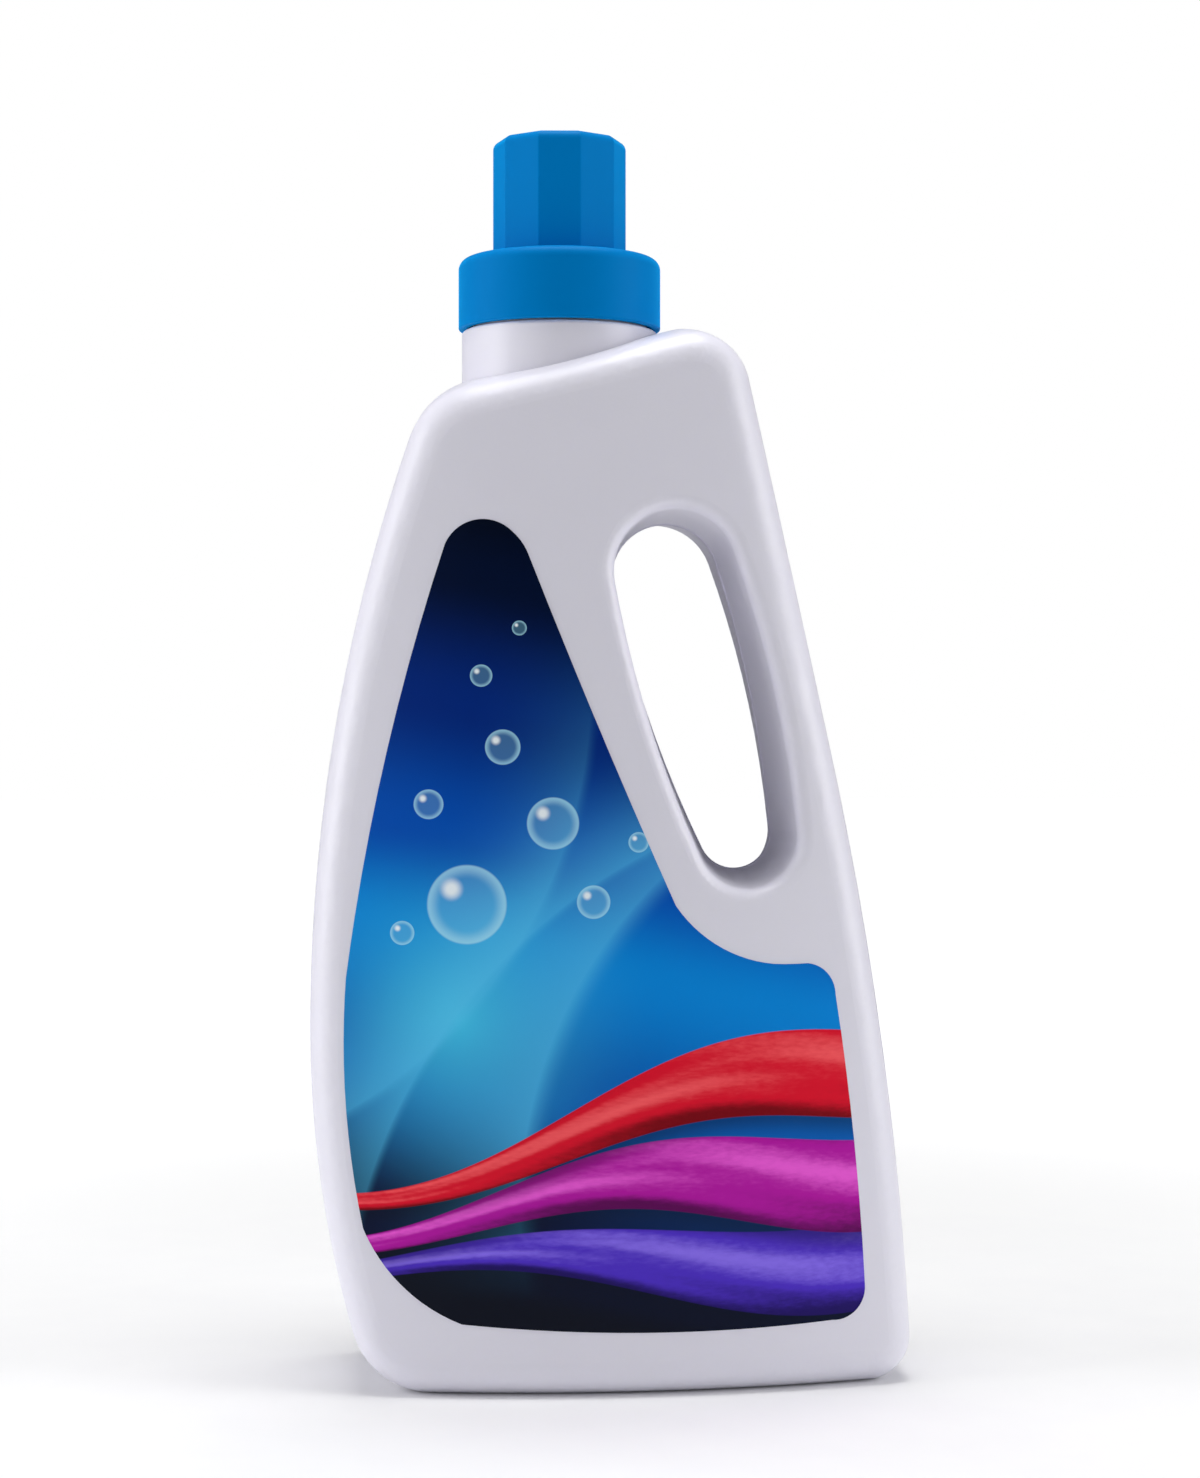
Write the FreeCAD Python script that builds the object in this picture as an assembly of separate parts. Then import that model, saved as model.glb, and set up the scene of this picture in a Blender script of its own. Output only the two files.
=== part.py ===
import FreeCAD, Part

import math
import os

from FreeCAD import Vector

# Laundry detergent bottle: a blow-moulded bottle with a grip through its right side,
# a drain-back pouring spout pressed into the neck, a sealing wad and a screw cap whose
# ten-sided top is the measuring cup. A film label lies on the front face.
# Millimetres. +Z is up, +X is the handle side, -Y is the front. The origin lies on the
# floor, at the middle of the bottle's width and depth.

# Body, seen from the front
belly_x = -65.0              # leftmost point of the left side
belly_z = 77.0               # height of that point
belly_radius_below = 232.0
belly_radius_above = 386.0
foot_right_x = 65.1          # the right side, where it would meet the floor
hip_x = 47.3                 # the straight upper right side ends here
hip_z = 133.0
hip_lean = 12.5              # degrees that the straight side leans from upright
shoulder_z = 224.7           # height of the shoulder's ridge above the origin
shoulder_slope = 14.6        # degrees
toe_left_radius = 17.0       # corners of the front view
toe_right_radius = 9.5
shoulder_left_radius = 18.0
shoulder_right_radius = 13.0

# Body, front to back
half_depth_foot = 29.6
half_depth_belly = 30.6
half_depth_shoulder = 26.4
depth_belly_z = 75.0
depth_shoulder_z = 225.0
crown_radius = 220.0         # curve of the front and back faces, seen from above
crown_x = -4.0
ridge_radius = 82.0          # curve of the shoulder, front to back

# Rounding of the long edge between the sides and the front or back face
edge_belly = 13.0
edge_foot = 8.0
edge_shoulder = 8.0
edge_handle = 8.0

# Wall and base
wall = 0.9
push_up_height = 3.0
push_up_half_width = 42.0
push_up_half_depth = 17.0
push_up_round = 1.2
pinch_length = 60.0          # line where the mould pinched the tube shut
pinch_width = 1.6
pinch_height = 0.7

# Grip hole, an oval of four arcs on the parting plane
grip_top_x = 12.5
grip_top_z = 174.2
grip_top_radius = 12.0
grip_foot_x = 27.8
grip_foot_z = 118.0
grip_foot_radius = 8.1
grip_side_radius = 245.0     # the two long sides
grip_draft = 3.0             # degrees
grip_flare = 2.2             # extra opening of the lower end at the faces
grip_lip_radius = 2.8
grip_seam_height = 0.4       # ridge of the weld on the parting plane
grip_seam_half_width = 0.7

# Neck
neck_x = -10.7
collar_radius = 21.4
collar_wall = 1.2
collar_top_z = 228.0
collar_lip_radius = 0.8
collar_sink = 12.0           # its start below the shoulder's ridge, inside the body
finish_wall = 1.4
land_z = 239.5

# Screw thread
thread_lead = 12.0
thread_starts = 2
thread_depth = 1.0
thread_root = 2.2
thread_crest = 1.0
thread_z = 230.2
thread_rise = 6.6
thread_radial_gap = 0.5
thread_flank_gap = 0.25
thread_embed = 0.3

# Cap
ring_radius = 22.15
ring_wall = 1.7
ring_gap = 0.4
ring_round = 2.4
ring_lip = 0.4
ring_deck = 2.2
cup_sides = 10
cup_radius = 14.6            # to the corners
cup_wall = 1.3
cup_height = 26.1
cup_round = 2.0              # top edge
cup_turn = 32.4              # degrees from +X to the first corner
cup_edge = 0.6               # upright corners

# Pouring spout
flange_thickness = 1.0
flange_inset = 0.3
plug_depth = 9.0
plug_wall = 1.0
plug_gap = 0.05
spout_radius = 12.0
spout_wall = 0.8
spout_tip_z = 262.0
spout_heel_z = 243.0
drain_slot_width = 7.0
drain_slot_height = 3.0
gutter_fall = 2.0

# Sealing wad
wad_thickness = 1.2
wad_gap = 0.4

# Cutting and turned shapes run past what they cut or form by these lengths
cut_overrun = 4.0
form_overrun = 60.0

# Label
label_thickness = 0.15
label_back_y = -5.0          # the film's outline is cut in front of this plane
label_arcs = (               # x and z of each arc's start and middle, in front view
    (-22.5, 182.4, -29.6, 184.9),
    (-36.6, 179.6, -46.6, 145.0),
    (-57.3, 88.4, -57.2, 60.0),
    (-53.7, 35.8, -46.0, 24.3),
    (-33.0, 15.9, 0.0, 14.0),
    (46.0, 14.9, 51.4, 16.8),
    (53.3, 22.0, 50.9, 52.0),
    (46.6, 84.5, 45.0, 88.7),
    (40.5, 91.1, 36.8, 91.0),
    (33.0, 91.1, 21.3, 94.9),
    (11.9, 103.6, -3.7, 139.5),
    (-18.9, 177.1, -20.5, 180.2),
)


def xz(x, z):
    return Vector(x, 0, z)


def line(a, b):
    return Part.LineSegment(a, b).toShape()


def arc(a, middle, b):
    return Part.Arc(a, middle, b).toShape()


def tube(outer, inner, low, high, x=0.0):
    """A round tube about an upright axis."""
    skin = Part.makeCylinder(outer, high - low, Vector(x, 0, low))
    bore = Part.makeCylinder(inner, high - low, Vector(x, 0, low))
    return skin.cut(bore)


def shoulder_at(x):
    """Height of the shoulder's ridge at x."""
    return shoulder_z + x * math.tan(math.radians(shoulder_slope))


def right_side_at(z):
    """x of the straight upper right side, carried on to any height."""
    return hip_x - (z - hip_z) * math.tan(math.radians(hip_lean))


def left_side_at(z):
    """x of the left side, an arc above the belly and a flatter one below it."""
    radius = belly_radius_above if z > belly_z else belly_radius_below
    return belly_x + radius - math.sqrt(radius ** 2 - (z - belly_z) ** 2)


def front_view(inset):
    """The body's sides and foot, open above the shoulder, moved inwards by the inset."""
    top_z = shoulder_at(foot_right_x)
    foot_left = xz(left_side_at(0.0), 0.0)
    foot_right = xz(foot_right_x, 0.0)
    hip = xz(hip_x, hip_z)
    belly = xz(belly_x, belly_z)
    top_right = xz(right_side_at(top_z), top_z)
    top_left = xz(left_side_at(top_z), top_z)

    # the lower right side is an arc tangent to the straight side at the hip
    chord = foot_right - hip
    side = Vector(math.sin(math.radians(hip_lean)), 0, -math.cos(math.radians(hip_lean)))
    inward = Vector(side.z, 0, -side.x)
    radius = chord.dot(chord) / (2 * chord.dot(inward))
    centre = hip + inward * radius
    half_way = (hip + foot_right) * 0.5 - centre
    lower_right = centre + half_way.normalize() * abs(radius)

    def left_half_way(low, high):
        z = (low.z + high.z) / 2
        return xz(left_side_at(z), z)

    outline = Part.Wire([
        line(foot_left, foot_right),
        arc(foot_right, lower_right, hip),
        line(hip, top_right),
        line(top_right, top_left),
        arc(top_left, left_half_way(belly, top_left), belly),
        arc(belly, left_half_way(foot_left, belly), foot_left),
    ])
    face = Part.Face(outline)
    if inset:
        face = face.makeOffset2D(-inset, 2)
    return face


def crowned_half(inset):
    """A large turned solid whose front is the body's front face."""
    axis_y = crown_radius - half_depth_belly
    low = Vector(crown_x, inset - half_depth_foot, 0)
    middle = Vector(crown_x, inset - half_depth_belly, depth_belly_z)
    high = Vector(crown_x, inset - half_depth_shoulder, depth_shoulder_z)
    circle = arc(low, middle, high).Curve
    bulge = 1 if circle.Center.y > middle.y else -1
    reach_low = -form_overrun
    reach_high = depth_shoulder_z + form_overrun
    points = []
    for z in (reach_low, depth_belly_z, reach_high):
        rise = z - circle.Center.z
        y = circle.Center.y - bulge * math.sqrt(circle.Radius ** 2 - rise ** 2)
        points.append(Vector(crown_x, y, z))
    axis_low = Vector(crown_x, axis_y, reach_low)
    axis_high = Vector(crown_x, axis_y, reach_high)
    wire = Part.Wire([arc(*points), line(points[2], axis_high),
                      line(axis_high, axis_low), line(axis_low, points[0])])
    face = Part.Face(wire)
    sector = 90.0
    axis = Vector(0, 0, 1)
    face.rotate(axis_low, axis, -sector / 2)
    return face.revolve(axis_low, axis, sector)


def shoulder_hood(inset):
    """A long solid with a rounded top that runs along the shoulder's slope."""
    half = ridge_radius - inset
    centre = -ridge_radius
    left = Vector(0, -half, centre)
    right = Vector(0, half, centre)
    deep = Vector(0, 0, -2 * (shoulder_z + form_overrun))
    wire = Part.Wire([arc(left, Vector(0, 0, -inset), right), line(right, right + deep),
                      line(right + deep, left + deep), line(left + deep, left)])
    length = 2 * (foot_right_x - belly_x)
    hood = Part.Face(wire).extrude(Vector(length, 0, 0))
    hood.translate(Vector(-length / 2, 0, 0))
    hood.rotate(Vector(), Vector(0, 1, 0), -shoulder_slope)
    hood.translate(Vector(0, 0, shoulder_z))
    return hood


def near_foot(z):
    """True for the corners at the foot, well below the belly."""
    return z < belly_z / 2


def near_shoulder(z):
    """True for the corners at the shoulder, well above the hip."""
    return z > (hip_z + shoulder_z) / 2


def edge_radius(x, z):
    """Rounding of the long edge at a place in front view."""
    if near_foot(z):
        return edge_foot
    if near_shoulder(z):
        return edge_shoulder
    return edge_handle if x > 0 else edge_belly


def runs_across(edge):
    """True for an edge that runs from the front to the back."""
    run = edge.Vertexes[-1].Point - edge.Vertexes[0].Point
    return abs(run.y) > 0.9 * run.Length


def round_corners(slab, inset):
    """Round the four corners of the front view."""
    for near, side, radius in (
        (near_foot, -1, toe_left_radius),
        (near_foot, 1, toe_right_radius),
        (near_shoulder, -1, shoulder_left_radius),
        (near_shoulder, 1, shoulder_right_radius),
    ):
        picks = [edge for edge in slab.Edges if runs_across(edge)
                 and near(edge.CenterOfMass.z) and edge.CenterOfMass.x * side > 0]
        slab = slab.makeFillet(radius - inset, picks)
    return slab


def round_long_edges(shape, inset):
    """Round the front and back edge loops, with a radius that changes along them."""
    document = FreeCAD.newDocument("rounding")
    base = document.addObject("Part::Feature", "slab")
    base.Shape = shape
    feature = document.addObject("Part::Fillet", "rounded")
    feature.Base = base
    picks = []
    for number, edge in enumerate(base.Shape.Edges, start=1):
        if runs_across(edge):
            continue
        ends = [vertex.Point for vertex in edge.Vertexes]
        radii = [edge_radius(end.x, end.z) - inset for end in ends]
        picks.append((number, radii[0], radii[-1]))
    feature.Edges = picks
    document.recompute()
    rounded = feature.Shape.copy()
    FreeCAD.closeDocument(document.Name)
    return rounded


def body_slab(inset):
    """The body without its grip hole, moved inwards by the inset."""
    depth = 4 * half_depth_belly
    prism = front_view(inset).extrude(Vector(0, depth, 0))
    prism.translate(Vector(0, -depth / 2, 0))
    front = crowned_half(inset)
    back = front.mirror(Vector(), Vector(0, 1, 0))
    slab = prism.common(front).common(back).common(shoulder_hood(inset))
    slab = round_corners(slab.removeSplitter(), inset)
    return round_long_edges(slab, inset)


def circles_meet(a, radius_a, b, radius_b, side):
    """Where two circles in front view cross, on the chosen side of the line a to b."""
    chord = b - a
    along = (chord.dot(chord) + radius_a ** 2 - radius_b ** 2) / (2 * chord.Length)
    off = math.sqrt(radius_a ** 2 - along ** 2)
    unit = chord * (1 / chord.Length)
    return a + unit * along + Vector(-unit.z, 0, unit.x) * off * side


def grip_wire(y, growth, flare):
    """The grip hole's outline at one depth, grown all round and more at its lower end."""
    top = xz(grip_top_x, grip_top_z)
    foot = xz(grip_foot_x, grip_foot_z)
    top_r = grip_top_radius + growth
    foot_r = grip_foot_radius + growth + flare
    side_r = grip_side_radius + growth
    ends = []
    middles = []
    for side in (-1, 1):
        centre = circles_meet(top, side_r - top_r, foot, side_r - foot_r, side)
        ends.append([end + (end - centre).normalize() * radius
                     for end, radius in ((xz(top.x, top.z), top_r), (xz(foot.x, foot.z), foot_r))])
        middle = (ends[-1][0] + ends[-1][1]) * 0.5
        middles.append(centre + (middle - centre).normalize() * side_r)
    axis = (top - foot).normalize()
    wire = Part.Wire([
        arc(ends[0][0], top + axis * top_r, ends[1][0]),
        arc(ends[1][0], middles[1], ends[1][1]),
        arc(ends[1][1], foot - axis * foot_r, ends[0][1]),
        arc(ends[0][1], middles[0], ends[0][0]),
    ])
    wire.translate(Vector(0, y, 0))
    return wire


def grip_hole(growth):
    """The drafted hole through the body, widest at the two faces."""
    reach = half_depth_belly + cut_overrun
    widening = reach * math.tan(math.radians(grip_draft))
    middle = grip_wire(0.0, growth - grip_seam_height, 0.0)
    halves = []
    for side in (-1, 1):
        seam_foot = grip_wire(side * grip_seam_half_width, growth, 0.0)
        mouth = grip_wire(side * reach, growth + widening, grip_flare)
        halves.append(Part.makeLoft([middle, seam_foot, mouth], True, True))
    return halves[0].fuse(halves[1])


def body_form(inset):
    """The whole outer form of the body, moved inwards by the inset."""
    slab = body_slab(inset)
    pierced = slab.cut(grip_hole(inset))
    mouth = grip_wire(0.0, 2 * grip_lip_radius, grip_flare).BoundBox
    lips = []
    for edge in pierced.Edges:
        box = edge.BoundBox
        in_mouth = (box.XMin > mouth.XMin and box.XMax < mouth.XMax
                    and box.ZMin > mouth.ZMin and box.ZMax < mouth.ZMax)
        if in_mouth and min(abs(box.YMin), abs(box.YMax)) > grip_lip_radius:
            lips.append(edge)
    return pierced.makeFillet(grip_lip_radius - inset, lips)


def push_up(growth):
    """The hollow under the base, its floor and sides moved up and out by the growth."""
    half_width = push_up_half_width + growth
    half_depth = push_up_half_depth + growth
    ring = Part.Ellipse(Vector(), half_width, half_depth).toShape()
    floor = Part.Face(Part.Wire([ring]))
    height = push_up_height + growth
    solid = floor.extrude(Vector(0, 0, height + cut_overrun))
    solid.translate(Vector(0, 0, -cut_overrun))
    rim = [edge for edge in solid.Edges if abs(edge.BoundBox.ZMin - height) < 0.01
           and edge.BoundBox.ZLength < 0.01]
    return solid.makeFillet(push_up_round + growth, rim)


def pinch_rib():
    """The weld line under the base, left where the mould pinched the tube shut."""
    depth = pinch_height + wall / 2
    rib = Part.makeBox(pinch_length, pinch_width, depth,
                       Vector(-pinch_length / 2, -pinch_width / 2, push_up_height - pinch_height))
    ends = [edge for edge in rib.Edges if edge.BoundBox.ZLength > depth / 2]
    return rib.makeFillet(pinch_width / 3, ends)


def helix_rib(radius, crest_radius, low, turn):
    """One start of the screw thread: a rib swept along a helix."""
    grow = 1 if crest_radius > radius else -1
    root_r = radius - grow * thread_embed
    path = Part.makeHelix(thread_lead, thread_rise, radius)
    corners = [
        Vector(root_r, 0, -thread_root / 2), Vector(crest_radius, 0, -thread_crest / 2),
        Vector(crest_radius, 0, thread_crest / 2), Vector(root_r, 0, thread_root / 2),
    ]
    profile = Part.makePolygon(corners + corners[:1])
    rib = Part.Wire(path.Edges).makePipeShell([profile], True, True)
    rib.rotate(Vector(), Vector(0, 0, 1), turn)
    rib.translate(Vector(neck_x, 0, low))
    return rib


def finish_radius():
    """Outside of the threaded finish, kept clear of the cap's own thread."""
    return ring_radius - ring_wall - thread_depth - thread_radial_gap


def bottle_body():
    """The blow-moulded shell with its neck."""
    outside = body_form(0.0).cut(push_up(0.0))
    collar_low = shoulder_at(neck_x - collar_radius) - collar_sink
    collar = Part.makeCylinder(collar_radius, collar_top_z - collar_low, Vector(neck_x, 0, collar_low))
    rim = [edge for edge in collar.Edges if abs(edge.BoundBox.ZMin - collar_top_z) < 0.01]
    collar = collar.makeFillet(collar_lip_radius, rim)
    finish_r = finish_radius()
    finish = Part.makeCylinder(finish_r, land_z - collar_low, Vector(neck_x, 0, collar_low))
    outside = outside.fuse([collar, finish])
    inside = body_form(wall).cut(push_up(wall))
    bore_r = finish_r - finish_wall
    collar_bore = Part.makeCylinder(collar_radius - collar_wall, collar_top_z - collar_wall - collar_low,
                                    Vector(neck_x, 0, collar_low))
    bore = Part.makeCylinder(bore_r, land_z + cut_overrun - collar_low, Vector(neck_x, 0, collar_low))
    shell = outside.cut(inside.fuse([collar_bore, bore]))
    ribs = []
    for start in range(thread_starts):
        turn = start * 360.0 / thread_starts
        ribs.append(helix_rib(finish_r, finish_r + thread_depth, thread_z, turn))
    return shell.fuse(ribs + [pinch_rib()])


def seat_z():
    """Top of the spout's flange, where the wad lies."""
    return land_z + flange_thickness


def deck_low_z():
    """Underside of the cap's deck, which presses on the wad."""
    return seat_z() + wad_thickness


def pour_spout():
    """Pressed-in insert: flange, plug, sloping gutter and a slanted, slotted spout."""
    bore_r = finish_radius() - finish_wall
    plug_r = bore_r - plug_gap
    low = land_z - plug_depth
    flange = tube(finish_radius() - flange_inset, plug_r - plug_wall, land_z, seat_z())
    plug = tube(plug_r, plug_r - plug_wall, low, land_z)
    gutter = Part.makeCylinder(plug_r, gutter_fall + plug_wall, Vector(0, 0, low))
    drop = Part.makeCylinder(2 * plug_r, 3 * plug_r, Vector(0, 0, plug_wall))
    tilt = math.degrees(math.atan2(gutter_fall, 2 * plug_r))
    drop.rotate(Vector(), Vector(0, 1, 0), tilt)
    drop.translate(Vector(0, 0, low + gutter_fall / 2))
    gutter = gutter.cut(drop)
    spout = Part.makeCylinder(spout_radius, spout_tip_z - low, Vector(0, 0, low))
    bore = Part.makeCylinder(spout_radius - spout_wall, spout_tip_z - low + 2 * cut_overrun,
                             Vector(0, 0, low - cut_overrun))
    slant = math.atan2(spout_tip_z - spout_heel_z, 2 * spout_radius)
    knife = Part.makeBox(8 * spout_radius, 4 * spout_radius, 4 * spout_radius,
                         Vector(-4 * spout_radius, -2 * spout_radius, 0))
    knife.rotate(Vector(), Vector(0, 1, 0), math.degrees(slant))
    knife.translate(Vector(0, 0, (spout_tip_z + spout_heel_z) / 2))
    body = flange.fuse([plug, gutter, spout]).cut(bore).cut(knife)
    slot = Part.makeBox(2 * spout_radius, drain_slot_width, drain_slot_height,
                        Vector(0, -drain_slot_width / 2, low + plug_wall / 2))
    slot_reach = Part.makeCylinder(spout_radius + spout_wall, drain_slot_height * 2, Vector(0, 0, low))
    body = body.cut(slot.common(slot_reach))
    body.translate(Vector(neck_x, 0, 0))
    return body


def seal_ring():
    """The flat ring of foam between the spout's flange and the cap's deck."""
    outer = finish_radius() - flange_inset - wad_gap
    inner = cup_radius * math.cos(math.pi / cup_sides) + wad_gap
    return tube(outer, inner, seat_z(), deck_low_z(), neck_x)


def cup_polygon(radius, z):
    """Ten-sided outline of the cup at one height."""
    corners = []
    for number in range(cup_sides + 1):
        angle = math.radians(cup_turn + number * 360.0 / cup_sides)
        corners.append(Vector(radius * math.cos(angle), radius * math.sin(angle), z))
    return Part.makePolygon(corners)


def cup_solid(radius, low, top, rounding):
    """Ten-sided cup with softened corners and a rounded top."""
    height = top - low
    cup = Part.Face(cup_polygon(radius, low)).extrude(Vector(0, 0, height))
    corners = [edge for edge in cup.Edges if edge.BoundBox.ZLength > height / 2]
    cup = cup.makeFillet(cup_edge, corners)
    rim = [edge for edge in cup.Edges if edge.BoundBox.ZMin > top - 0.01]
    return cup.makeFillet(rounding, rim)


def screw_cap():
    """One-piece cap: threaded skirt, deck and ten-sided cup."""
    low = collar_top_z + ring_gap
    high = deck_low_z() + ring_deck
    top = high + cup_height
    ring = Part.makeCylinder(ring_radius, high - low, Vector(0, 0, low))
    upper = [edge for edge in ring.Edges if abs(edge.BoundBox.ZMin - high) < 0.01]
    ring = ring.makeFillet(ring_round, upper)
    lower = [edge for edge in ring.Edges if abs(edge.BoundBox.ZMax - low) < 0.01]
    ring = ring.makeFillet(ring_lip, lower)
    cup = cup_solid(cup_radius, deck_low_z(), top, cup_round)
    corner_wall = cup_wall / math.cos(math.pi / cup_sides)
    hollow = cup_solid(cup_radius - corner_wall, low, top - cup_wall, max(cup_edge, cup_round - cup_wall))
    skirt_bore = Part.makeCylinder(ring_radius - ring_wall, deck_low_z() - low + cut_overrun,
                                   Vector(0, 0, low - cut_overrun))
    cap = ring.fuse(cup).cut(hollow).cut(skirt_bore)
    cap.translate(Vector(neck_x, 0, 0))
    skirt_r = ring_radius - ring_wall
    offset = (thread_root + thread_crest) / 2 + thread_flank_gap
    ribs = []
    for start in range(thread_starts):
        turn = start * 360.0 / thread_starts + offset * 360.0 / thread_lead
        ribs.append(helix_rib(skirt_r, skirt_r - thread_depth, thread_z, turn))
    return cap.fuse(ribs)


def label_face():
    """Outline of the label in front view, as a flat face."""
    edges = []
    for number, (x, z, middle_x, middle_z) in enumerate(label_arcs):
        next_x, next_z = label_arcs[(number + 1) % len(label_arcs)][:2]
        edges.append(arc(xz(x, z), xz(middle_x, middle_z), xz(next_x, next_z)))
    return Part.Face(Part.Wire(edges))


def front_label():
    """A thin film that lies on the front face."""
    prism = label_face().extrude(Vector(0, -2 * half_depth_belly, 0))
    prism.translate(Vector(0, label_back_y, 0))
    return body_slab(-label_thickness).common(prism).cut(body_slab(0.0))


def save(shape, node):
    shape.exportStep(os.path.join("parts", node + ".step"))
    print(node, "valid", shape.isValid(), "solids", len(shape.Solids), "volume", round(shape.Volume, 1),
          "faces", len(shape.Faces))


def main():
    os.makedirs("parts", exist_ok=True)
    save(bottle_body(), "bottle_body")
    save(pour_spout(), "pour_spout")
    save(seal_ring(), "seal_ring")
    save(screw_cap(), "screw_cap")
    save(front_label(), "front_label")


main()
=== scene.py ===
"""Dress the laundry detergent bottle: finishes, seams, light, floor and camera."""

import logging
import math
from dataclasses import dataclass, field
from enum import Enum
from typing import Callable, Sequence, Union

import bmesh
import bpy
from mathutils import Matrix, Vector

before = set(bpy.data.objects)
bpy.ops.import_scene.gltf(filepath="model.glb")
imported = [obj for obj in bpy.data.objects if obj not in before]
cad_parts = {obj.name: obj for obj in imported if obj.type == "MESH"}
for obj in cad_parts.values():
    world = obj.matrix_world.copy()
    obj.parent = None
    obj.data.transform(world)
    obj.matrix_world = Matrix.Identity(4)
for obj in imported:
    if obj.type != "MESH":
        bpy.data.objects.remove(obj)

LOG = logging.getLogger("bottle")
MM = 0.001
# The average of a noise.
MIDDLE = 0.5
Colour = tuple[float, float, float]
Socket = bpy.types.NodeSocket
Input = Union[float, Colour, Socket]


class Node(Enum):
    """The solids that the bottle is made of."""

    BODY = "bottle_body"
    SPOUT = "pour_spout"
    WAD = "seal_ring"
    CAP = "screw_cap"
    LABEL = "front_label"


class Effect(Enum):
    """Shader node groups that several finishes share."""

    MOULDED_SKIN = "Moulded skin"
    HANDLING = "Handling marks"
    MILLIMETRES = "Millimetre place"
    RIBBON = "Printed ribbon"
    BUBBLE = "Printed bubble"
    STREAK = "Printed light streak"


def srgb(red: int, green: int, blue: int) -> Colour:
    """Turn a screen colour into the linear colour that shaders take.

    Args:
        red: Red from 0 to 255.
        green: Green from 0 to 255.
        blue: Blue from 0 to 255.

    Returns:
        The linear colour.
    """
    def linear(value: int) -> float:
        """Linear value of one channel."""
        share = value / 255
        return share / 12.92 if share <= 0.04045 else ((share + 0.055) / 1.055) ** 2.4
    return linear(red), linear(green), linear(blue)


@dataclass(frozen=True)
class Grain:
    """One cloudy noise: its fineness, finer layers, their strength and its stretch by axis."""

    fineness: float
    layers: float = 2.0
    layer_strength: float = 0.5
    stretch: Colour = (1.0, 1.0, 1.0)


# Relief of moulded plastic: fine peel, and waves drawn out along the height.
ORANGE_PEEL = Grain(1400.0)
FLOW_WAVES = Grain(120.0, stretch=(1.0, 1.0, 0.18))
# Wear, with the noise values between which each mark fades in.
RUBBED_PATCHES = Grain(34.0, 3.0, 0.6)
PATCH_EDGE = (0.45, 0.75)
HAIRLINES = Grain(900.0, 1.0, stretch=(1.0, 1.0, 0.05))
HAIRLINE_EDGE = (0.66, 0.74)
# Uneven colour of plastic, silk and paper.
COLOUR_CLOUDS = Grain(22.0, 3.0)
SILK_THREADS = Grain(1500.0, 3.0, stretch=(0.25, 1.0, 1.0))
PAPER_FIBRES = Grain(60.0, 3.0)
# Power by which printed light falls off from its crest.
LIGHT_FALL = 2.0
# Weight of large faces in the smooth shading, from 0 to 100.
LARGE_FACES_LEAD = 80


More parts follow.
